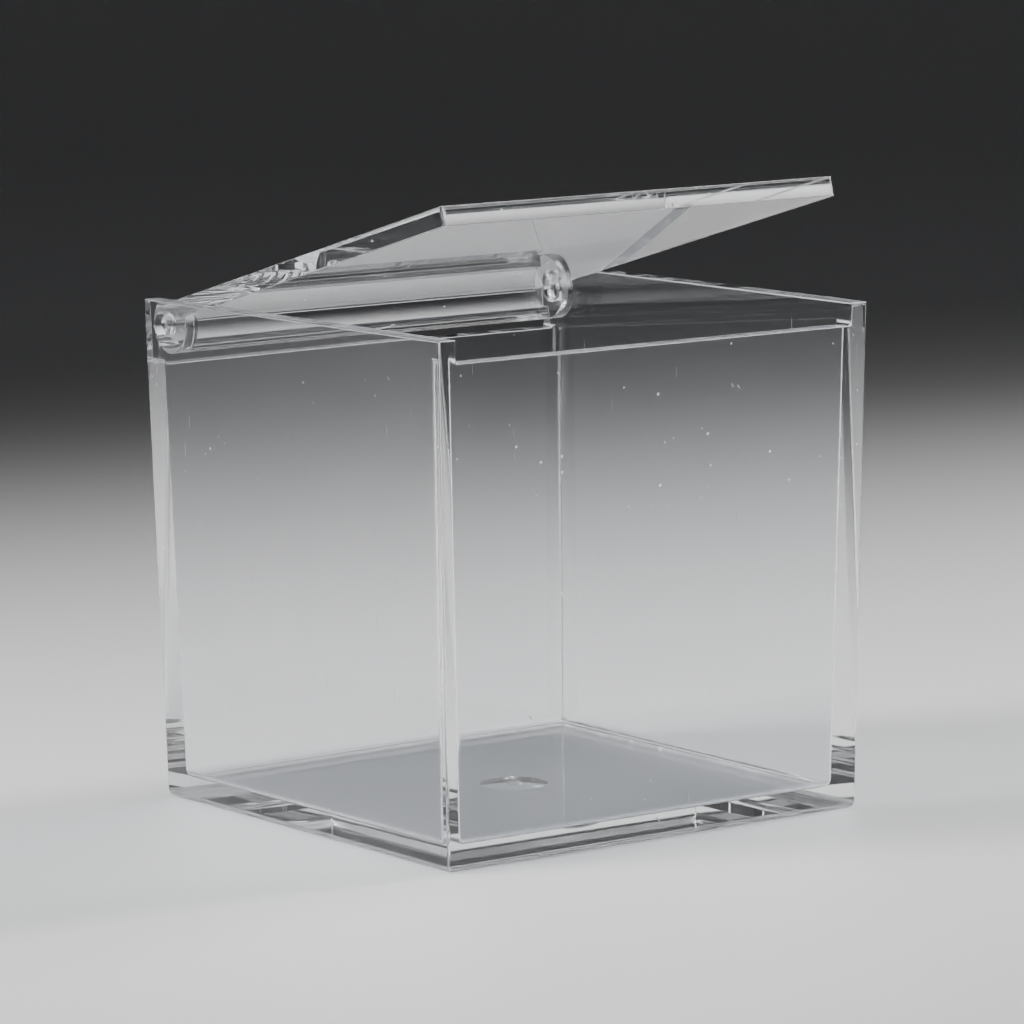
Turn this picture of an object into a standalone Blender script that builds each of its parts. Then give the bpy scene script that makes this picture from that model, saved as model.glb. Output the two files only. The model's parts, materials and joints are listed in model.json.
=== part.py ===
"""Clear hinged box that holds guitar picks.

Two clear polystyrene mouldings: a square tray with four drafted walls, and a flat lid whose
two round ears carry pips that snap into holes in the side walls.  The front is -Y and the
hinge runs along X at the back.  The origin is on the table, under the middle of the box.
Lengths are in metres and angles in radians.
"""

import math

import bmesh
import bpy
from mathutils import Vector

# ---- tray ---------------------------------------------------------------------------------
WIDTH = 0.0610              # X, over the side walls at the rim
DEPTH = 0.0605              # Y, over the front and back walls at the rim
HEIGHT = 0.0600             # table to the rim of the side walls
WALL = 0.0023               # wall thickness at the rim
FLOOR = 0.0028              # floor thickness
OUTER_DRAFT = math.radians(1.1)     # lean of the outer faces, so that the tray leaves its mould
INNER_DRAFT = math.radians(1.4)     # lean of the inner faces, off the mould's core
EDGE_ROUND = 0.0003         # upright outer corners
BASE_ROUND = 0.0009         # outer edge around the bottom
RIM_ROUND = 0.0001          # both edges of the rim
CORNER_ROUND = 0.0004       # upright inner corners
FLOOR_ROUND = 0.0008        # inner edge around the floor
NOTCH_ROUND = 0.0006        # lower corners of the lowered front and back walls
NOTCH_STEP = 0.0001         # how far the lowered walls stop short of the side walls' faces

# ---- lid ----------------------------------------------------------------------------------
LID_THICKNESS = 0.0023
LID_FRONT_SETBACK = 0.0003  # closed lid's front edge, behind the front face
LID_SIDE_GAP = 0.00028      # closed lid to each side wall's notch face
LID_SEAT_GAP = 0.00035      # closed lid to the top of the front wall
LID_OPENING = math.radians(15.0)    # how far the lid stands open

# ---- hinge --------------------------------------------------------------------------------
PIN_DROP = 0.00285          # pin axis below the rim
BARREL_RADIUS = 0.0035      # ears and the curved rear flange, about the pin axis
FLANGE_WALL = 0.0015        # thickness of the curved rear flange
FLANGE_SWEEP = math.radians(90.0)   # how far the flange wraps below the level of the pin
EAR_THICKNESS = 0.0018
BACK_CLEARANCE = 0.0013     # flange to the top of the lowered back wall
PIN_RADIUS = 0.00135
PIN_CLEARANCE = 0.00005     # radial play of a pip in its hole
PIN_REACH = 0.0015          # how far a pip stands into the side wall
PIN_CHAMFER = 0.0003        # lead-in at a pip's tip

# ---- gate mark under the floor ------------------------------------------------------------
GATE_RADIUS = 0.0040        # mouth of the domed recess that keeps the broken gate off the table
GATE_DEPTH = 0.0007         # top of the dome above the table
STUB_RADIUS = 0.0009        # broken gate left in the middle
STUB_CLEARANCE = 0.0002     # broken gate's end above the table

CORNER_STEPS = 4            # facets in an upright corner or a rounded edge
PIN_STEPS = 32              # facets around a pip and its hole
BARREL_STEP = math.radians(6.0)     # angle of one facet on the ears and the flange
GATE_STEPS = 48             # facets around the gate recess
DOME_STEPS = 6              # facets from the broken gate out to the dome's mouth
CUT_MARGIN = 0.002          # how far a cutter reaches past what it cuts

CLEAR_COLOUR = (0.95, 0.96, 0.97, 1.0)
CLEAR_ROUGHNESS = 0.03
POLYSTYRENE_IOR = 1.59

# ---- places that follow from the sizes above ----------------------------------------------
PIN_Y = DEPTH / 2 - BARREL_RADIUS
PIN_Z = HEIGHT - PIN_DROP
FRONT_TOP = HEIGHT - LID_THICKNESS - LID_SEAT_GAP
BACK_TOP = PIN_Z - BARREL_RADIUS - BACK_CLEARANCE


def cavity_half(size, z):
    """Half of the distance between two facing inner walls at height z; size is over the outside."""
    return size / 2 - WALL - (HEIGHT - z) * math.tan(INNER_DRAFT)


def outer_half(size, z):
    """Half of the tray's outer size at height z."""
    return size / 2 - (HEIGHT - z) * math.tan(OUTER_DRAFT)


LID_HALF = cavity_half(WIDTH, FRONT_TOP) - NOTCH_STEP - LID_SIDE_GAP


def remove_everything():
    for thing in list(bpy.data.objects):
        bpy.data.objects.remove(thing, do_unlink=True)


def clear_plastic(name):
    material = bpy.data.materials.new(name)
    material.use_nodes = True
    shader = material.node_tree.nodes["Principled BSDF"]
    shader.inputs["Base Color"].default_value = CLEAR_COLOUR
    shader.inputs["Roughness"].default_value = CLEAR_ROUGHNESS
    shader.inputs["Metallic"].default_value = 0.0
    shader.inputs["IOR"].default_value = POLYSTYRENE_IOR
    shader.inputs["Transmission Weight"].default_value = 1.0
    return material


def object_from(bm, name):
    """Link a bmesh as a new object, its faces turned outwards."""
    bmesh.ops.recalc_face_normals(bm, faces=bm.faces)
    mesh = bpy.data.meshes.new(name)
    bm.to_mesh(mesh)
    bm.free()
    thing = bpy.data.objects.new(name, mesh)
    bpy.context.scene.collection.objects.link(thing)
    return thing


def loft(rings, name):
    """Closed solid through equal rings of points, capped at the first and the last."""
    bm = bmesh.new()
    loops = [[bm.verts.new(point) for point in ring] for ring in rings]
    for low, high in zip(loops, loops[1:]):
        for i in range(len(low)):
            j = (i + 1) % len(low)
            bm.faces.new((low[i], low[j], high[j], high[i]))
    bm.faces.new(loops[0])
    bm.faces.new(loops[-1])
    return object_from(bm, name)


def prism(outline, place, start, end, name):
    """Extrude a 2-D outline between two distances; place turns (distance, u, v) into a point."""
    rings = [[place(at, u, v) for u, v in outline] for at in (start, end)]
    return loft(rings, name)


def along_x(at, u, v):
    return Vector((at, u, v))


def along_y(at, u, v):
    return Vector((u, at, v))


def arc(centre, radius, start, end, steps):
    """Points of a circular arc, both ends included."""
    points = []
    for i in range(steps + 1):
        angle = start + (end - start) * i / steps
        points.append((centre[0] + radius * math.cos(angle), centre[1] + radius * math.sin(angle)))
    return points


def barrel_arc(radius, start, end):
    """Arc about the pin axis in facets of about one BARREL_STEP."""
    return arc((0.0, 0.0), radius, start, end, max(2, round(abs(end - start) / BARREL_STEP)))


def rounded_ring(half_x, half_y, radius, z):
    """Level rectangle with round corners."""
    points = []
    for quarter, (sx, sy) in enumerate(((1, 1), (-1, 1), (-1, -1), (1, -1))):
        start = quarter * math.pi / 2
        centre = (sx * (half_x - radius), sy * (half_y - radius))
        points += arc(centre, radius, start, start + math.pi / 2, CORNER_STEPS)
    return [Vector((x, y, z)) for x, y in points]


def tray_ring(half, inset, radius, z):
    """Ring that stands inset from the wall face that half(size, z) describes."""
    return rounded_ring(half(WIDTH, z) - inset, half(DEPTH, z) - inset, radius, z)


def drill(radius, half_length, name):
    """Cylinder on the pin axis that cuts both side walls' holes."""
    circle = arc((PIN_Y, PIN_Z), radius, 0.0, 2 * math.pi, PIN_STEPS)[:-1]
    return prism(circle, along_x, -half_length, half_length, name)


def apply_boolean(target, tool, operation):
    """Cut tool out of target, or join it on, and remove the tool."""
    modifier = target.modifiers.new("cut", "BOOLEAN")
    modifier.operation = operation
    modifier.solver = "EXACT"
    modifier.object = tool
    bpy.context.view_layer.update()
    evaluated = target.evaluated_get(bpy.context.evaluated_depsgraph_get())
    result = bpy.data.meshes.new_from_object(evaluated)
    target.modifiers.clear()
    old = target.data
    target.data = result
    result.name = target.name
    bpy.data.meshes.remove(old)
    bpy.data.objects.remove(tool, do_unlink=True)


def notch(y_from, y_to, bottom, name):
    """U-shaped cutter that lowers a wall between the side walls down to bottom."""
    top = HEIGHT + CUT_MARGIN
    lower = cavity_half(WIDTH, bottom) - NOTCH_STEP
    upper = cavity_half(WIDTH, top) - NOTCH_STEP
    r = NOTCH_ROUND
    right = arc((lower - r, bottom + r), r, -math.pi / 2, 0.0, CORNER_STEPS) + [(upper, top)]
    left = [(-x, z) for x, z in reversed(right)]
    return prism(right + left, along_y, y_from, y_to, name)


def gate_cutter():
    """Domed round recess with the broken gate hanging in its middle."""
    profile = [(STUB_RADIUS, STUB_CLEARANCE)]
    for i in range(DOME_STEPS + 1):
        radius = STUB_RADIUS + (GATE_RADIUS - STUB_RADIUS) * i / DOME_STEPS
        profile.append((radius, GATE_DEPTH * (1 - (radius / GATE_RADIUS) ** 2)))
    profile.append((GATE_RADIUS, -CUT_MARGIN))
    rings = []
    for radius, z in profile:
        circle = arc((0.0, 0.0), radius, 0.0, 2 * math.pi, GATE_STEPS)[:-1]
        rings.append([Vector((x, y, z)) for x, y in circle])
    return loft(rings, "gate_cutter")


def make_tray():
    rings = []
    for i in range(CORNER_STEPS + 1):
        angle = math.pi / 2 * i / CORNER_STEPS
        inset = BASE_ROUND * (1 - math.sin(angle))
        rings.append(tray_ring(outer_half, inset, EDGE_ROUND, BASE_ROUND * (1 - math.cos(angle))))
    rings.append(tray_ring(outer_half, 0.0, EDGE_ROUND, HEIGHT - RIM_ROUND))
    rings.append(tray_ring(outer_half, RIM_ROUND, EDGE_ROUND, HEIGHT))
    rings.append(tray_ring(cavity_half, -RIM_ROUND, CORNER_ROUND, HEIGHT))
    rings.append(tray_ring(cavity_half, 0.0, CORNER_ROUND, HEIGHT - RIM_ROUND))
    for i in range(CORNER_STEPS + 1):
        angle = math.pi / 2 * i / CORNER_STEPS
        inset = FLOOR_ROUND * (1 - math.cos(angle))
        z = FLOOR + FLOOR_ROUND * (1 - math.sin(angle))
        rings.append(tray_ring(cavity_half, inset, CORNER_ROUND, z))
    tray = loft(rings, "box_body")
    reach = DEPTH / 2 + CUT_MARGIN
    apply_boolean(tray, notch(-reach, -CUT_MARGIN, FRONT_TOP, "front_notch"), "DIFFERENCE")
    apply_boolean(tray, notch(CUT_MARGIN, reach, BACK_TOP, "back_notch"), "DIFFERENCE")
    hole = drill(PIN_RADIUS + PIN_CLEARANCE, WIDTH / 2 + CUT_MARGIN, "pin_holes")
    apply_boolean(tray, hole, "DIFFERENCE")
    apply_boolean(tray, gate_cutter(), "DIFFERENCE")
    tray.data.materials.append(clear_plastic("clear_box_plastic"))
    return tray


def plate_and_ear_outline():
    """Side view of the lid about the pin axis: flat plate running into a round rear end."""
    top = PIN_DROP
    bottom = PIN_DROP - LID_THICKNESS
    front = -(DEPTH - BARREL_RADIUS - LID_FRONT_SETBACK)
    top_angle = math.asin(top / BARREL_RADIUS)
    ear_angle = -math.pi - math.asin(bottom / BARREL_RADIUS)
    return [(front, bottom), (front, top)] + barrel_arc(BARREL_RADIUS, top_angle, ear_angle)


def hollow_outline():
    """Space inside the curved rear flange and in front of it, under the plate."""
    bottom = PIN_DROP - LID_THICKNESS
    inner = BARREL_RADIUS - FLANGE_WALL
    reach = BARREL_RADIUS + CUT_MARGIN
    end_angle = -FLANGE_SWEEP
    curve = barrel_arc(inner, end_angle, math.asin(bottom / inner))
    end_face = (reach * math.cos(end_angle), reach * math.sin(end_angle))
    return [(-reach, bottom), (-reach, -reach), end_face] + curve


def pip(side):
    """Hinge pip: starts inside the ear and ends in a chamfer inside the side wall's hole."""
    foot = LID_HALF - EAR_THICKNESS / 2
    tip = outer_half(WIDTH, PIN_Z) - WALL + PIN_REACH
    stations = ((foot, PIN_RADIUS), (tip - PIN_CHAMFER, PIN_RADIUS), (tip, PIN_RADIUS - PIN_CHAMFER))
    rings = []
    for x, radius in stations:
        circle = arc((0.0, 0.0), radius, 0.0, 2 * math.pi, PIN_STEPS)[:-1]
        rings.append([Vector((side * x, y, z)) for y, z in circle])
    return loft(rings, "pip")


def make_lid():
    """Lid modelled closed about the pin axis, then swung open by its parent empty."""
    lid = prism(plate_and_ear_outline(), along_x, -LID_HALF, LID_HALF, "lid")
    inside = LID_HALF - EAR_THICKNESS
    apply_boolean(lid, prism(hollow_outline(), along_x, -inside, inside, "hollow"), "DIFFERENCE")
    for side in (-1, 1):
        apply_boolean(lid, pip(side), "UNION")
    lid.data.materials.append(clear_plastic("clear_lid_plastic"))
    axis = bpy.data.objects.new("lid_hinge_axis", None)
    bpy.context.scene.collection.objects.link(axis)
    axis.location = (0.0, PIN_Y, PIN_Z)
    axis.rotation_euler = (-LID_OPENING, 0.0, 0.0)
    lid.parent = axis
    return lid


def main():
    remove_everything()
    for thing in (make_tray(), make_lid()):
        thing.data.shade_smooth()
        thing.data.set_sharp_from_angle(angle=math.radians(30.0))
    bpy.context.view_layer.update()


main()
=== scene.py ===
# %% [markdown]
# # A clear hinged box for guitar picks
#
# The object is two mouldings in clear polystyrene: an open tray with four leaning walls, and
# a flat lid that ends in two round ears and a curled rear flange. Pips on the ears snap into
# holes in the side walls. A clear moulding is seen only by its edges, so the lesson spends
# its effort on three things: true wall thickness, true edge radii, and a restrained finish
# of hairlines, dust and handling haze.

import json
import math

import bmesh
import bpy
from mathutils import Matrix, Vector


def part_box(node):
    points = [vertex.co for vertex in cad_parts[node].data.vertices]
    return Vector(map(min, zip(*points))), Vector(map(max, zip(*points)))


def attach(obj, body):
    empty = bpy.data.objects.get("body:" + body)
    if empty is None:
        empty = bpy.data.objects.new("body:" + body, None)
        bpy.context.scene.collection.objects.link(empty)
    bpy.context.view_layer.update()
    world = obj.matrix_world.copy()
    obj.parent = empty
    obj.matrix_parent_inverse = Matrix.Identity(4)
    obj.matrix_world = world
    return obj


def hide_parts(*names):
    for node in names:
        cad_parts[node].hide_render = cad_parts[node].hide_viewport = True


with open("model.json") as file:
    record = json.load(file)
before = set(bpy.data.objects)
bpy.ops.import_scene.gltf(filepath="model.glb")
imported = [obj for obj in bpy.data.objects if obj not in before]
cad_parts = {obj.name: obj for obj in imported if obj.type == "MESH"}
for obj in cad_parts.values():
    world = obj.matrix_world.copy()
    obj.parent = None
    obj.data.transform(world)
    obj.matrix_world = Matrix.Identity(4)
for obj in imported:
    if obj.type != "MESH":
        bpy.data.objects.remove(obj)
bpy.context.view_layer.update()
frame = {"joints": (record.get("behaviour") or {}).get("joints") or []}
tray_low, tray_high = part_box("box_body")
hinge = frame["joints"][0]

# %% [markdown]
# ## Sizes
#
# The overall sizes, the pin's place and the angle at which the lid stands come from the
# frame, so that the looks can't drift away from the model that moves. The sizes that a box
# can't show, such as wall thickness and mould draft, are written out once here. Lengths are
# in metres. One millimetre is 0.001.

# %% Sizes
WIDTH, DEPTH, HEIGHT = tray_high - tray_low
PIN = Vector(hinge["pos_m"])
LID_OPENING = math.radians(-hinge["range_deg"][0])
WALL = 0.0023
FLOOR = 0.0028
OUTER_DRAFT = math.radians(1.1)
INNER_DRAFT = math.radians(1.4)
LID_THICKNESS = 0.0023
LID_SIDE_GAP = 0.00038
LID_SEAT_GAP = 0.00035
LID_FRONT_SETBACK = 0.0003
LID_CORNER_ROUND = 0.0005
BARREL_RADIUS = 0.0035
FLANGE_WALL = 0.0015
EAR_THICKNESS = 0.0018
BACK_CLEARANCE = 0.0013
PIP_RADIUS = 0.00135
PIP_CLEARANCE = 0.00005
PIP_REACH = 0.0015
PIP_CHAMFER = 0.0003
PIN_DROP = HEIGHT - PIN.z
FRONT_TOP = HEIGHT - LID_THICKNESS - LID_SEAT_GAP
BACK_TOP = PIN.z - BARREL_RADIUS - BACK_CLEARANCE
LID_FRONT = -(PIN.y + DEPTH / 2 - LID_FRONT_SETBACK)
print("outside", [round(s * 1000, 2) for s in (WIDTH, DEPTH, HEIGHT)], "mm")


def outer(size, z):
    """Half of the tray's outer size at height z."""
    return size / 2 - (HEIGHT - z) * math.tan(OUTER_DRAFT)


def inner(size, z):
    """Half of the distance between two facing inner walls at height z."""
    return size / 2 - WALL - (HEIGHT - z) * math.tan(INNER_DRAFT)


LID_HALF = inner(WIDTH, FRONT_TOP) - LID_SIDE_GAP
print("lid half width", round(LID_HALF * 1000, 3), "mm")

# %% [markdown]
# ## Helpers for meshes
#
# Both mouldings are made the same way: a cage of large flat faces gives the exact shape, and
# a Bevel modifier rounds each edge by its own radius, which is stored on the edge as a bevel
# weight. Modelling the roundings by hand would take longer, and subdividing the cage would
# bend the flat walls, which shows at once in clear plastic. The modifier also puts its own
# faces in a second material slot, which is how the worn edges are found afterwards.

# %% Mesh helpers
WIDEST_ROUND = 0.0009
FINE_ROUND = 0.00011
ROUND_STEPS = 5
SHARP = math.radians(12.0)


def linked(mesh, name):
    thing = bpy.data.objects.new(name, mesh)
    bpy.context.scene.collection.objects.link(thing)
    return thing


def object_from(bm, name):
    """A new object from a bmesh, its faces turned outwards."""
    bmesh.ops.recalc_face_normals(bm, faces=bm.faces)
    mesh = bpy.data.meshes.new(name)
    bm.to_mesh(mesh)
    bm.free()
    return linked(mesh, name)


def evaluated_mesh(thing):
    """The mesh of an object with its modifiers applied."""
    bpy.context.view_layer.update()
    graph = bpy.context.evaluated_depsgraph_get()
    return bpy.data.meshes.new_from_object(
        thing.evaluated_get(graph), preserve_all_data_layers=True, depsgraph=graph
    )


def bake_modifiers(thing):
    mesh = evaluated_mesh(thing)
    thing.modifiers.clear()
    thing.data = mesh
    mesh.name = thing.name
    return thing


def combine(thing, tool, operation):
    """Join tool on to thing, or cut it out, and remove the tool."""
    modifier = thing.modifiers.new("combine", "BOOLEAN")
    modifier.operation = operation
    modifier.solver = "EXACT"
    modifier.object = tool
    bake_modifiers(thing)
    bpy.data.objects.remove(tool, do_unlink=True)


def loft(rings, name):
    """A closed solid through equal rings of points, capped at both ends."""
    bm = bmesh.new()
    loops = [[bm.verts.new(point) for point in ring] for ring in rings]
    for low, high in zip(loops, loops[1:]):
        for i in range(len(low)):
            j = (i + 1) % len(low)
            bm.faces.new((low[i], low[j], high[j], high[i]))
    bm.faces.new(loops[0])
    bm.faces.new(loops[-1])
    return object_from(bm, name)


def arc(radius, start, end, steps):
    """Points of an arc about the origin, both ends included."""
    turn = (end - start) / steps
    angles = [start + turn * i for i in range(steps + 1)]
    return [(radius * math.cos(a), radius * math.sin(a)) for a in angles]


def round_edges(thing, radius_of):
    """Round every sharp edge by radius_of(its two ends), and mark the new faces as edge_wear."""
    mesh = thing.data
    bm = bmesh.new()
    bm.from_mesh(mesh)
    bmesh.ops.remove_doubles(bm, verts=bm.verts, dist=1e-7)
    bmesh.ops.dissolve_limit(bm, angle_limit=math.radians(0.02), verts=bm.verts, edges=bm.edges)
    weight = bm.edges.layers.float.new("bevel_weight_edge")
    rounded = 0
    for edge in bm.edges:
        if len(edge.link_faces) == 2 and edge.calc_face_angle() > SHARP:
            edge[weight] = radius_of(edge.verts[0].co, edge.verts[1].co) / WIDEST_ROUND
            rounded += 1
    for face in bm.faces:
        face.smooth = True
    bm.to_mesh(mesh)
    bm.free()
    mesh.materials.clear()
    for slot in ("plain", "rounded"):
        mesh.materials.append(bpy.data.materials.new(slot))
    bevel = thing.modifiers.new("round", "BEVEL")
    bevel.limit_method = "WEIGHT"
    bevel.width = WIDEST_ROUND
    bevel.segments = ROUND_STEPS
    bevel.use_clamp_overlap = False
    bevel.harden_normals = True
    bevel.material = 1
    bake_modifiers(thing)
    mesh = thing.data
    worn = mesh.attributes.new("edge_wear", "FLOAT", "FACE")
    worn.data.foreach_set("value", [float(p.material_index == 1) for p in mesh.polygons])
    mesh.polygons.foreach_set("material_index", [0] * len(mesh.polygons))
    mesh.materials.clear()
    print(thing.name, rounded, "edges rounded,", len(mesh.polygons), "faces")
    return thing


# %% [markdown]
# ## Hinge pips, with Geometry Nodes
#
# The hinge repeats one shape on both sides: a stubby round pip with a chamfered tip, and the
# hole that it snaps into. Two cylinders placed by hand would do, but then pip and hole are
# four objects to keep in line. Here one Geometry Nodes tree sweeps a circle along a short
# line that thins at its tip, sets it on two points turned half a turn apart, and serves
# twice: once with the pip's sizes, and once with the hole's, as the cutter.

# %% The hinge pair tree
def geometry_tree(name, inputs):
    """A node group for a Geometry Nodes modifier, with named inputs."""
    tree = bpy.data.node_groups.new(name, "GeometryNodeTree")
    tree.interface.new_socket("Geometry", in_out="OUTPUT", socket_type="NodeSocketGeometry")
    for label, kind in inputs:
        tree.interface.new_socket(label, in_out="INPUT", socket_type=kind)
    return tree, tree.nodes.new("NodeGroupInput"), tree.nodes.new("NodeGroupOutput")


def node(tree, kind, values=(), **settings):
    """A node with its settings, and its inputs set to numbers or linked to sockets."""
    made = tree.nodes.new(kind)
    for name, value in settings.items():
        setattr(made, name, value)
    for key, value in dict(values).items():
        if isinstance(value, bpy.types.NodeSocket):
            tree.links.new(value, made.inputs[key])
        else:
            made.inputs[key].default_value = value
    return made


def sums(tree, operation, first, second):
    return node(tree, "ShaderNodeMath", {0: first, 1: second}, operation=operation).outputs[0]


def between(tree, factor, first, second):
    """A colour that goes from first to second as factor goes from 0 to 1."""
    return node(tree, "ShaderNodeMix", {0: factor, 6: first, 7: second}, data_type="RGBA").outputs[2]


def hinge_pair_tree():
    tree, given, result = geometry_tree(
        "hinge_pair",
        (
            ("Foot", "NodeSocketFloat"),
            ("Tip", "NodeSocketFloat"),
            ("Radius", "NodeSocketFloat"),
            ("Chamfer", "NodeSocketFloat"),
            ("Centre", "NodeSocketVector"),
            ("Facets", "NodeSocketInt"),
            ("Material", "NodeSocketMaterial"),
        ),
    )
    foot = node(tree, "ShaderNodeCombineXYZ", {"X": given.outputs["Foot"]})
    tip = node(tree, "ShaderNodeCombineXYZ", {"X": given.outputs["Tip"]})
    line = node(tree, "GeometryNodeCurvePrimitiveLine", {"Start": foot.outputs[0], "End": tip.outputs[0]})
    stations = node(tree, "GeometryNodeResampleCurve", {"Curve": line.outputs[0], "Count": 3})
    index = node(tree, "GeometryNodeInputIndex").outputs[0]
    middle = node(tree, "FunctionNodeCompare", {2: index, 3: 1}, data_type="INT", operation="EQUAL")
    shoulder = node(
        tree,
        "ShaderNodeCombineXYZ",
        {"X": sums(tree, "SUBTRACT", given.outputs["Tip"], given.outputs["Chamfer"])},
    )
    placed = node(
        tree,
        "GeometryNodeSetPosition",
        {"Geometry": stations.outputs[0], "Selection": middle.outputs[0], "Position": shoulder.outputs[0]},
    )
    last = sums(tree, "GREATER_THAN", index, 1.5)
    thinner = sums(tree, "MULTIPLY", last, given.outputs["Chamfer"])
    radius = sums(tree, "SUBTRACT", given.outputs["Radius"], thinner)
    circle = node(
        tree, "GeometryNodeCurvePrimitiveCircle", {"Resolution": given.outputs["Facets"], "Radius": 1.0}
    )
    swept = node(
        tree,
        "GeometryNodeCurveToMesh",
        {
            "Curve": placed.outputs[0],
            "Profile Curve": circle.outputs[0],
            "Scale": radius,
            "Fill Caps": True,
        },
    )
    points = node(tree, "GeometryNodeMeshLine", {"Count": 2, "Offset": (0.0, 0.0, 0.0)})
    turn = node(tree, "ShaderNodeCombineXYZ", {"Z": sums(tree, "MULTIPLY", index, math.pi)})
    pair = node(
        tree,
        "GeometryNodeInstanceOnPoints",
        {"Points": points.outputs[0], "Instance": swept.outputs[0], "Rotation": turn.outputs[0]},
    )
    moved = node(
        tree,
        "GeometryNodeTransform",
        {"Geometry": pair.outputs[0], "Translation": given.outputs["Centre"]},
    )
    real = node(tree, "GeometryNodeRealizeInstances", {"Geometry": moved.outputs[0]})
    painted = node(
        tree,
        "GeometryNodeSetMaterial",
        {"Geometry": real.outputs[0], "Material": given.outputs["Material"]},
    )
    tree.links.new(painted.outputs[0], result.inputs[0])
    return tree


def hinge_pair(name, tree, values):
    """Run the tree with these values and return the plain mesh object that it makes."""
    thing = linked(bpy.data.meshes.new(name), name)
    modifier = thing.modifiers.new("hinge_pair", "NODES")
    modifier.node_group = tree
    keys = {s.name: s.identifier for s in tree.interface.items_tree if s.in_out == "INPUT"}
    for label, value in values.items():
        modifier[keys[label]] = value
    bake_modifiers(thing)
    print(name, len(thing.data.vertices), "points")
    return thing


PAIR_TREE = hinge_pair_tree()
MOULDED = bpy.data.materials.new("moulded")
PIP_TIP = outer(WIDTH, PIN.z) - WALL + PIP_REACH
PIP_FACETS = 64


def pips(name, foot, tip, radius, chamfer, centre):
    values = {
        "Foot": foot,
        "Tip": tip,
        "Radius": radius,
        "Chamfer": chamfer,
        "Centre": centre,
        "Facets": PIP_FACETS,
        "Material": MOULDED,
    }
    return hinge_pair(name, PAIR_TREE, values)


# %% [markdown]
# ## The tray
#
# The real tray is pulled off a steel core, so its walls lean: wider at the rim than at the
# floor, inside a little more than outside. The side walls stand full height, and the front
# and back walls stop lower, to seat the lid and to clear its flange. A rounded box with
# boolean notches would leave slivers where a notch meets a rounding. A cage of fourteen flat
# faces, each one a true plane, has none, and every edge can then be rounded by its own size.

# %% The tray's cage
def tray_cage():
    bm = bmesh.new()
    at = {}

    def point(key, x, y, z):
        at[key] = bm.verts.new((x, y, z))

    for sx in (-1, 1):
        for sy, low in ((-1, FRONT_TOP), (1, BACK_TOP)):
            point(("base", sx, sy), sx * outer(WIDTH, 0.0), sy * outer(DEPTH, 0.0), 0.0)
            point(("rim", sx, sy), sx * outer(WIDTH, HEIGHT), sy * outer(DEPTH, HEIGHT), HEIGHT)
            point(("lip", sx, sy), sx * inner(WIDTH, HEIGHT), sy * outer(DEPTH, HEIGHT), HEIGHT)
            point(("step", sx, sy), sx * inner(WIDTH, low), sy * outer(DEPTH, low), low)
            point(("seat", sx, sy), sx * inner(WIDTH, low), sy * inner(DEPTH, low), low)
            point(("floor", sx, sy), sx * inner(WIDTH, FLOOR), sy * inner(DEPTH, FLOOR), FLOOR)

    def face(*keys):
        bm.faces.new([at[key] for key in keys])

    for sx in (-1, 1):
        face(("base", sx, -1), ("base", sx, 1), ("rim", sx, 1), ("rim", sx, -1))
        face(("rim", sx, -1), ("rim", sx, 1), ("lip", sx, 1), ("lip", sx, -1))
        front = [(key, sx, -1) for key in ("floor", "seat", "step", "lip")]
        back = [(key, sx, 1) for key in ("lip", "step", "seat", "floor")]
        face(*front, *back)
    for sy in (-1, 1):
        left = [(key, -1, sy) for key in ("step", "lip", "rim", "base")]
        right = [(key, 1, sy) for key in ("base", "rim", "lip", "step")]
        face(*left, *right)
        face(("step", -1, sy), ("step", 1, sy), ("seat", 1, sy), ("seat", -1, sy))
        face(("seat", -1, sy), ("seat", 1, sy), ("floor", 1, sy), ("floor", -1, sy))
    for level in ("base", "floor"):
        face((level, -1, -1), (level, 1, -1), (level, 1, 1), (level, -1, 1))
    print("tray cage", len(bm.verts), "points", len(bm.faces), "faces")
    return object_from(bm, "clear_tray")


# %% [markdown]
# ## The gate mark and the pin holes
#
# Plastic enters the mould at the middle of the floor, and the gate is snapped off there. A
# shallow domed recess keeps the rough stub off the table. It is turned about a vertical
# axis, as on a lathe, and cut out of the cage together with the two pin holes.

# %% Gate recess and finished tray
GATE_RADIUS = 0.0040
GATE_DEPTH = 0.0007
STUB_RADIUS = 0.0009
STUB_CLEARANCE = 0.0002
CUT_MARGIN = 0.002
GATE_FACETS = 72
DOME_STEPS = 10
BASE_ROUND = 0.0009
FLOOR_ROUND = 0.0008
NOTCH_ROUND = 0.0006
CORNER_ROUND = 0.0004
UPRIGHT_ROUND = 0.0003


def gate_cutter():
    profile = [(STUB_RADIUS * 0.82, STUB_CLEARANCE), (STUB_RADIUS * 0.96, STUB_CLEARANCE * 1.6)]
    for i in range(DOME_STEPS + 1):
        radius = STUB_RADIUS + (GATE_RADIUS - STUB_RADIUS) * i / DOME_STEPS
        profile.append((radius, GATE_DEPTH * (1 - (radius / GATE_RADIUS) ** 2)))
    profile.append((GATE_RADIUS, -CUT_MARGIN))
    turns = [arc(radius, 0.0, 2 * math.pi, GATE_FACETS)[:-1] for radius, z in profile]
    rings = [[(x, y, z) for x, y in turn] for turn, (radius, z) in zip(turns, profile)]
    return loft(rings, "gate_cutter")


JUST_ABOVE_FLOOR = FLOOR * 1.1


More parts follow.
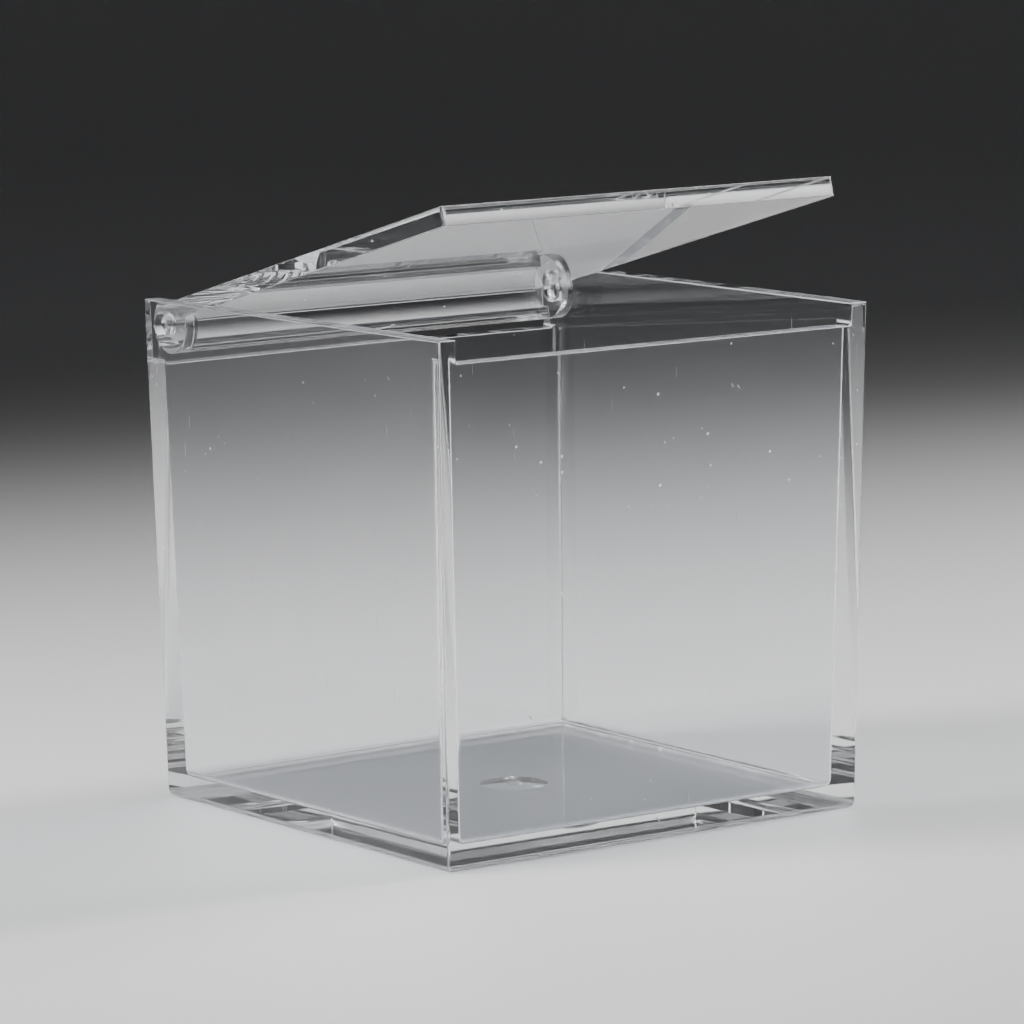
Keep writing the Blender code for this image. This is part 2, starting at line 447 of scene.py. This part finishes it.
def tray_round(a, b):
    """Radius of the tray's edge between a and b."""
    across = max(abs(a.x), abs(a.y)) > GATE_RADIUS * 2
    if max(a.z, b.z) < FLOOR / 2:
        return BASE_ROUND if across else FINE_ROUND / 2
    if max(a.z, b.z) < JUST_ABOVE_FLOOR:
        return FLOOR_ROUND
    if abs(a.z - b.z) > HEIGHT / 2:
        return UPRIGHT_ROUND if min(a.z, b.z) < FLOOR / 2 else CORNER_ROUND
    level = max(a.z, b.z) < HEIGHT - FINE_ROUND and abs(a.z - b.z) < FINE_ROUND
    if level and abs(a.y - b.y) > WALL / 2 and abs(a.x - b.x) < FINE_ROUND:
        return NOTCH_ROUND
    return FINE_ROUND


tray = tray_cage()
combine(tray, gate_cutter(), "DIFFERENCE")
hole_radius = PIP_RADIUS + PIP_CLEARANCE
cutter_foot = HEIGHT / 4
cutter_chamfer = PIP_CHAMFER / 10
cutter = pips("pin_holes", cutter_foot, WIDTH, hole_radius, cutter_chamfer, (0.0, PIN.y, PIN.z))
combine(tray, cutter, "DIFFERENCE")
round_edges(tray, tray_round)

# %% [markdown]
# ## The lid
#
# The lid is one plate whose rear end runs into two round ears, with a curled flange between
# them. Seen from the side it is one outline, so it is pushed out along the hinge's axis, and
# the space inside the curl is cut away. The plate's two front corners are fuller than its
# other edges, so they get a radius of their own. It is drawn closed, about the pin, and then
# turned to the angle at which the box stands open, with the turn written into its mesh.

# %% The lid
BARREL_STEP = math.radians(3.0)
NEAR = 0.00001


def barrel(radius, start, end):
    return arc(radius, start, end, max(2, round(abs(end - start) / BARREL_STEP)))


def pushed(outline, half, name):
    """Push a side view out along the hinge's axis."""
    return loft([[(x, u, v) for u, v in outline] for x in (-half, half)], name)


def lid_outline():
    top = PIN_DROP
    under = PIN_DROP - LID_THICKNESS
    start = math.asin(top / BARREL_RADIUS)
    end = -math.pi - math.asin(under / BARREL_RADIUS)
    return [(LID_FRONT, under), (LID_FRONT, top)] + barrel(BARREL_RADIUS, start, end)


def curl_outline():
    """Space inside the curled flange, and in front of it under the plate."""
    under = PIN_DROP - LID_THICKNESS
    inside = BARREL_RADIUS - FLANGE_WALL
    reach = BARREL_RADIUS + CUT_MARGIN
    curve = barrel(inside, -math.pi / 2, math.asin(under / inside))
    return [(-reach, under), (-reach, -reach), (0.0, -reach)] + curve


def lid_round(a, b):
    """The plate's two upright front corners are fuller than its other edges."""
    upright = abs(a.x - b.x) < NEAR and abs(a.y - b.y) < NEAR
    return LID_CORNER_ROUND if upright and abs(a.y - LID_FRONT) < NEAR else FINE_ROUND


lid = pushed(lid_outline(), LID_HALF, "clear_lid")
combine(lid, pushed(curl_outline(), LID_HALF - EAR_THICKNESS, "curl"), "DIFFERENCE")
foot = LID_HALF - EAR_THICKNESS / 2
combine(lid, pips("pips", foot, PIP_TIP, PIP_RADIUS, PIP_CHAMFER, (0.0, 0.0, 0.0)), "UNION")
round_edges(lid, lid_round)
lid.data.transform(Matrix.Translation(PIN) @ Matrix.Rotation(-LID_OPENING, 4, "X"))

# %% [markdown]
# ## Finish: effects that both mouldings share
#
# Nothing in a clear part has a colour of its own. What the eye reads as old or new plastic is
# hairlines from cloths and picks, a few dust specks, a breath of haze from handling, and rims
# that have lost their polish. Each of these is a shader node group with named inputs, built
# once and set by each material for its own piece. They give masks and heights only, and the
# shader itself stays in the material, where its glass settings are plain numbers.

# %% Shader groups
def effect(name, inputs, output):
    """A shader node group with named number inputs, a Vector input and one output."""
    tree = bpy.data.node_groups.new(name, "ShaderNodeTree")
    tree.interface.new_socket("Vector", in_out="INPUT", socket_type="NodeSocketVector")
    for label, value in inputs:
        socket = tree.interface.new_socket(label, in_out="INPUT", socket_type="NodeSocketFloat")
        socket.default_value = value
    tree.interface.new_socket(output, in_out="OUTPUT", socket_type="NodeSocketFloat")
    return tree, tree.nodes.new("NodeGroupInput"), tree.nodes.new("NodeGroupOutput")


def stretched(tree, given, across, along):
    """The group's Vector, as cells of 1/across wide and 1/along long."""
    size = node(tree, "ShaderNodeCombineXYZ", {"X": across, "Y": across, "Z": along}).outputs[0]
    values = {0: given.outputs["Vector"], 1: size}
    return node(tree, "ShaderNodeVectorMath", values, operation="MULTIPLY").outputs[0]


def band(tree, value, low, high):
    """0 where value is at low and 1 where it is at high, smooth in between."""
    values = {"Value": value, "From Min": low, "From Max": high}
    return node(tree, "ShaderNodeMapRange", values, interpolation_type="SMOOTHSTEP").outputs[0]


def hairlines():
    """Fine straight scratches along Z, as the thin cores of very long cells."""
    tree, given, result = effect(
        "hairlines", (("Across", 900.0), ("Along", 30.0), ("Width", 0.06), ("Share", 0.5)), "Mask"
    )
    place = stretched(tree, given, given.outputs["Across"], given.outputs["Along"])
    cells = node(tree, "ShaderNodeTexVoronoi", {"Vector": place, "Scale": 1.0})
    line = band(tree, cells.outputs["Distance"], given.outputs["Width"], 0.0)
    chance = node(tree, "ShaderNodeSeparateXYZ", {0: cells.outputs["Color"]}).outputs[0]
    kept = sums(tree, "LESS_THAN", chance, given.outputs["Share"])
    tree.links.new(sums(tree, "MULTIPLY", line, kept), result.inputs[0])
    return tree


def specks():
    """Dust: small round grains, each of its own size."""
    tree, given, result = effect("dust_specks", (("Per Metre", 380.0), ("Size", 0.05)), "Mask")
    place = stretched(tree, given, given.outputs["Per Metre"], given.outputs["Per Metre"])
    cells = node(tree, "ShaderNodeTexVoronoi", {"Vector": place, "Scale": 1.0})
    chance = node(tree, "ShaderNodeSeparateXYZ", {0: cells.outputs["Color"]}).outputs[1]
    size = sums(tree, "MULTIPLY", given.outputs["Size"], sums(tree, "POWER", chance, 3.0))
    tree.links.new(band(tree, cells.outputs["Distance"], size, 0.0), result.inputs[0])
    return tree


def handling():
    """Haze from hands and cloths: soft patches crossed by faint wipe marks."""
    tree, given, result = effect("handling_haze", (("Patch", 45.0), ("Wipe", 700.0)), "Mask")
    patch = stretched(tree, given, given.outputs["Patch"], given.outputs["Patch"])
    cloud = node(tree, "ShaderNodeTexNoise", {"Vector": patch, "Scale": 1.0, "Detail": 3.0})
    wipe = stretched(tree, given, given.outputs["Wipe"], given.outputs["Patch"])
    streak = node(tree, "ShaderNodeTexNoise", {"Vector": wipe, "Scale": 1.0, "Detail": 2.0})
    soft = band(tree, cloud.outputs["Fac"], 0.45, 0.75)
    fine = band(tree, streak.outputs["Fac"], 0.4, 0.8)
    tree.links.new(sums(tree, "MULTIPLY", soft, sums(tree, "ADD", fine, 0.4)), result.inputs[0])
    return tree


def ripple():
    """The slow waves that a moulding freezes with, as a height."""
    tree, given, result = effect("mould_ripple", (("Waves", 55.0), ("Drawn", 0.5)), "Height")
    along = sums(tree, "MULTIPLY", given.outputs["Waves"], given.outputs["Drawn"])
    place = stretched(tree, given, given.outputs["Waves"], along)
    wave = node(tree, "ShaderNodeTexNoise", {"Vector": place, "Scale": 1.0, "Detail": 1.0})
    tree.links.new(wave.outputs["Fac"], result.inputs[0])
    return tree


HAIRLINES, SPECKS, HANDLING, RIPPLE = hairlines(), specks(), handling(), ripple()
print("shader groups", [g.name for g in (HAIRLINES, SPECKS, HANDLING, RIPPLE)])

# %% [markdown]
# ## Clear polystyrene
#
# Polystyrene bends light more than acrylic does, with an index of 1.59, so its edges flash
# harder. The Principled shader takes that number, full transmission and no metal. Roughness
# carries the haze, hairlines, specks and worn rims, and two Bump nodes carry the mould's slow
# waves and the cut of the hairlines. Lamps are let through by a Transparent shader that only
# shadow rays meet, darker where the plastic is seen edge on. Without it a clear box throws
# the shadow of a solid one, unless the render spends thousands of samples on caustics. A weak
# emission on the specks and hairlines stands in for the way that they catch the light.

# %% Clear polystyrene
POLYSTYRENE_IOR = 1.59
NICK_TURN = (0.0, 0.65, 0.0)
NICKS_ACROSS, NICKS_ALONG, NICK_WIDTH = 520.0, 75.0, 0.05
CUT_DEPTH, CUT_STRENGTH = 0.00003, 0.6
LINE_ROUGHNESS, DUST_ROUGHNESS, HAZE_GRIME = 0.45, 0.75, 0.25
# strength of the painted glint: emission that makes the specks and hairlines glow
PAINTED_GLINT_STRENGTH = 0.35
EDGE_ON = 0.45


def clear_polystyrene(name, turn, shift, looks):
    """The finish of one moulding. turn lays the hairlines along it, and shift moves the patterns."""
    material = bpy.data.materials.new(name)
    material.use_nodes = True
    tree = material.node_tree
    tree.nodes.clear()
    spot = node(tree, "ShaderNodeTexCoord").outputs["Object"]
    laid = node(tree, "ShaderNodeMapping", {"Vector": spot, "Rotation": turn, "Location": shift})
    place = laid.outputs[0]

    askew = node(tree, "ShaderNodeMapping", {"Vector": place, "Rotation": NICK_TURN}).outputs[0]

    def shared(group, where=place, **values):
        made = node(tree, "ShaderNodeGroup", node_tree=group)
        tree.links.new(where, made.inputs["Vector"])
        for label, value in values.items():
            made.inputs[label.replace("_", " ")].default_value = value
        return made.outputs[0]

    combed = shared(HAIRLINES, Across=looks["lines"], Along=looks["length"], Share=looks["share"])
    nicks = shared(
        HAIRLINES, askew, Across=NICKS_ACROSS, Along=NICKS_ALONG, Width=NICK_WIDTH, Share=looks["nicks"]
    )
    lines = sums(tree, "MAXIMUM", combed, nicks)
    dust = shared(SPECKS, Per_Metre=looks["specks"], Size=looks["speck_size"])
    haze = shared(HANDLING, Patch=looks["patch"])
    waves = shared(RIPPLE, Waves=looks["waves"])
    worn = node(tree, "ShaderNodeAttribute", attribute_name="edge_wear").outputs["Fac"]

    rough = sums(tree, "ADD", sums(tree, "MULTIPLY", haze, looks["haze"]), looks["polish"])
    for mask, amount in ((worn, looks["wear"]), (lines, LINE_ROUGHNESS), (dust, DUST_ROUGHNESS)):
        rough = sums(tree, "ADD", rough, sums(tree, "MULTIPLY", mask, amount))
    film = sums(tree, "MULTIPLY", haze, HAZE_GRIME)
    grime = sums(tree, "MINIMUM", sums(tree, "ADD", dust, film), 1.0)
    tint = between(tree, grime, looks["clear"], looks["dusty"])
    wavy = node(
        tree, "ShaderNodeBump", {"Height": waves, "Distance": looks["wave_height"], "Strength": 1.0}
    )
    marks = sums(tree, "SUBTRACT", dust, lines)
    cut = node(
        tree,
        "ShaderNodeBump",
        {
            "Height": marks,
            "Distance": CUT_DEPTH,
            "Strength": CUT_STRENGTH,
            "Normal": wavy.outputs[0],
        },
    )
    # painted glint: a weak emission on the dust specks and hairlines, a painted highlight where they would
    # catch the light
    painted_glint = sums(tree, "ADD", dust, sums(tree, "MULTIPLY", lines, looks["painted_glint"]))
    shader = node(
        tree,
        "ShaderNodeBsdfPrincipled",
        {
            "Emission Color": between(tree, painted_glint, (0.0, 0.0, 0.0, 1.0), (1.0, 1.0, 1.0, 1.0)),
            "Emission Strength": PAINTED_GLINT_STRENGTH,
            "Base Color": tint,
            "Roughness": rough,
            "Normal": cut.outputs[0],
            "Metallic": 0.0,
            "IOR": POLYSTYRENE_IOR,
            "Transmission Weight": 1.0,
        },
    )
    facing = node(tree, "ShaderNodeLayerWeight", {"Blend": EDGE_ON}).outputs["Facing"]
    shade = between(tree, facing, (0.93, 0.94, 0.95, 1.0), (0.42, 0.44, 0.47, 1.0))
    clear = node(tree, "ShaderNodeBsdfTransparent", {"Color": shade})
    lamp = node(tree, "ShaderNodeLightPath").outputs["Is Shadow Ray"]
    both = node(tree, "ShaderNodeMixShader", {0: lamp, 1: shader.outputs[0], 2: clear.outputs[0]})
    node(tree, "ShaderNodeOutputMaterial", {"Surface": both.outputs[0]})
    material.cycles.emission_sampling = "NONE"
    return material


tray_finish = clear_polystyrene(
    "tray_polystyrene",
    (0.0, 0.0, 0.0),
    (0.0131, 0.0247, 0.0059),
    {
        "lines": 1100.0, "length": 26.0, "share": 0.55, "nicks": 0.35, "specks": 360.0, "speck_size": 0.11,
        "patch": 42.0, "waves": 52.0, "wave_height": 0.000009, "painted_glint": 0.45, "polish": 0.004, "haze": 0.030,
        "wear": 0.10, "clear": (0.975, 0.982, 0.992, 1.0), "dusty": (0.93, 0.935, 0.94, 1.0),
    },
)
lid_finish = clear_polystyrene(
    "lid_polystyrene",
    (LID_OPENING - math.pi / 2, 0.35, 0.0),
    (0.0412, 0.0083, 0.0317),
    {
        "lines": 1000.0, "length": 34.0, "share": 0.7, "nicks": 0.5, "specks": 400.0, "speck_size": 0.10,
        "patch": 38.0, "waves": 46.0, "wave_height": 0.000008, "painted_glint": 0.45, "polish": 0.004, "haze": 0.035,
        "wear": 0.10, "clear": (0.975, 0.982, 0.992, 1.0), "dusty": (0.93, 0.935, 0.94, 1.0),
    },
)
tray.data.materials.append(tray_finish)
lid.data.materials.append(lid_finish)

# %% [markdown]
# ## Join the pieces to the frame
#
# Each moulding rides on the body that moves it, and stands for its plain solid, which is
# hidden. The hinge then carries the lid, pips and all.

# %% Ride, replace
for piece, body, solid, slot in (
    (tray, "box", "box_body", "clear_body"),
    (lid, "lid", "lid", "clear_lid"),
):
    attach(piece, body)
    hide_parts(solid)
    print(piece.name, "rides on", body)

# %% [markdown]
# ## Table and sweep
#
# A clear object shows its surroundings, so they matter as much as the mouldings do. A pale
# satin table runs out to a round sweep that rises all the way round, and gives the plastic
# one calm surface to bend, from every side. It is turned from one profile.

# %% Table and sweep
SWEEP_REACH = 1.9
SWEEP_CURVE = 0.9
SWEEP_HEIGHT = 1.2
TABLE_DROP = 0.00004
SWEEP_FACETS = 96
FIRST_RING, RING_GROWTH = 0.05, 1.45


def sweep():
    profile = [(FIRST_RING * RING_GROWTH**i, 0.0) for i in range(10)]
    profile = [(r, z) for r, z in profile if r < SWEEP_REACH - SWEEP_CURVE] + [
        (SWEEP_REACH - SWEEP_CURVE + u, SWEEP_CURVE + v)
        for u, v in arc(SWEEP_CURVE, -math.pi / 2, 0.0, 16)
    ]
    profile.append((SWEEP_REACH, SWEEP_CURVE + SWEEP_HEIGHT))
    bm = bmesh.new()
    rings = []
    for r, z in profile:
        turn = arc(r, 0.0, 2 * math.pi, SWEEP_FACETS)[:-1]
        rings.append([bm.verts.new((x, y, z - TABLE_DROP)) for x, y in turn])
    bm.faces.new(rings[0])
    for low, high in zip(rings, rings[1:]):
        for i in range(SWEEP_FACETS):
            j = (i + 1) % SWEEP_FACETS
            bm.faces.new((low[i], low[j], high[j], high[i])).smooth = True
    return object_from(bm, "table_sweep")


def table_finish():
    material = bpy.data.materials.new("pale_table")
    material.use_nodes = True
    tree = material.node_tree
    shader = tree.nodes["Principled BSDF"]
    spot = node(tree, "ShaderNodeTexCoord").outputs["Object"]
    grain = node(tree, "ShaderNodeTexNoise", {"Vector": spot, "Scale": 900.0, "Detail": 3.0})
    colour = between(tree, grain.outputs["Fac"], (0.60, 0.60, 0.605, 1.0), (0.64, 0.64, 0.645, 1.0))
    tree.links.new(colour, shader.inputs["Base Color"])
    shader.inputs["Roughness"].default_value = 0.42
    shader.inputs["Specular IOR Level"].default_value = 0.35
    return material


table = sweep()
table.data.materials.append(table_finish())

# %% [markdown]
# ## Light
#
# Plastic edges are drawn by what they bend into view. A long narrow strip overhead, which runs
# across the view, lays a soft pool of light on the table under the box and lets it fade
# behind. Two panels to the left and right light the edges, and a weak fill from the front
# keeps the near faces from going black. The dark room above keeps the lines crisp.

# %% Light
def panel(name, place, aim, size, power, spread, turn=0.0):
    """A soft panel that faces aim and is turned about its own middle."""
    light = bpy.data.lights.new(name, "AREA")
    light.shape = "RECTANGLE"
    light.size, light.size_y = size
    light.energy = power
    light.spread = math.radians(spread)
    thing = bpy.data.objects.new(name, light)
    bpy.context.scene.collection.objects.link(thing)
    facing = (Vector(aim) - Vector(place)).to_track_quat("-Z", "Y").to_matrix().to_4x4()
    thing.matrix_world = Matrix.Translation(place) @ facing @ Matrix.Rotation(turn, 4, "Z")
    thing.visible_camera = False
    return thing


ACROSS = math.radians(144.1)
panel("strip_overhead", (-0.09, -0.13, 0.52), (-0.08, -0.11, 0.0), (1.5, 0.16), 0.48, 58.0, ACROSS)
panel("left_panel", (-0.75, 0.30, 0.42), (0.0, 0.0, 0.03), (0.40, 0.60), 1.7, 34.0)
panel("right_panel", (0.70, -0.05, 0.45), (0.0, 0.0, 0.03), (0.30, 0.60), 1.4, 34.0)
panel("fill", (-0.3, -0.9, 1.4), (0.0, 0.2, 0.0), (1.0, 1.0), 2.2, 180.0)

world = bpy.data.worlds.new("room")
bpy.context.scene.world = world
world.use_nodes = True
world.node_tree.nodes["Background"].inputs["Color"].default_value = (0.035, 0.036, 0.039, 1.0)

# %% [markdown]
# ## Camera
#
# A long lens from about 65 cm, a little above the rim, shows two walls, the floor through
# them and the underside of the open lid. Its place is given by how far it is turned round
# the box, how high it stands and how far it leans.

# %% Camera
AZIMUTH = math.radians(-35.8884)
ELEVATION = math.radians(8.2996)
LEAN = math.radians(-0.7491)
CAMERA_PLACE = (-0.373224, -0.517290, 0.127902)

camera_data = bpy.data.cameras.new("camera")
camera_data.sensor_width = 36.0
camera_data.lens = 192.08
camera_data.clip_start, camera_data.clip_end = 0.05, 20.0
camera = bpy.data.objects.new("camera", camera_data)
bpy.context.scene.collection.objects.link(camera)
back = Vector(
    (
        math.sin(AZIMUTH) * math.cos(ELEVATION),
        -math.cos(AZIMUTH) * math.cos(ELEVATION),
        math.sin(ELEVATION),
    )
)
right = Vector((0.0, 0.0, 1.0)).cross(back).normalized()
up = back.cross(right)
lean = Matrix.Rotation(LEAN, 3, back)
columns = (lean @ right, lean @ up, back)
camera.matrix_world = Matrix.Translation(CAMERA_PLACE) @ Matrix(
    [[c[i] for c in columns] for i in range(3)]
).to_4x4()
bpy.context.scene.camera = camera

# %% [markdown]
# ## Light paths
#
# Light crosses up to a dozen plastic faces on its way through the corner of the box, so the
# limits on bounces are raised. Caustics are off, because the lamps already reach the table
# through the Transparent shader, and would be counted twice.

# %% Light paths
cycles = bpy.context.scene.cycles
cycles.max_bounces = 30
cycles.transmission_bounces = 30
cycles.glossy_bounces = 30
cycles.diffuse_bounces = 1
cycles.transparent_max_bounces = 24
cycles.caustics_reflective = False
cycles.caustics_refractive = False
cycles.use_denoising = True
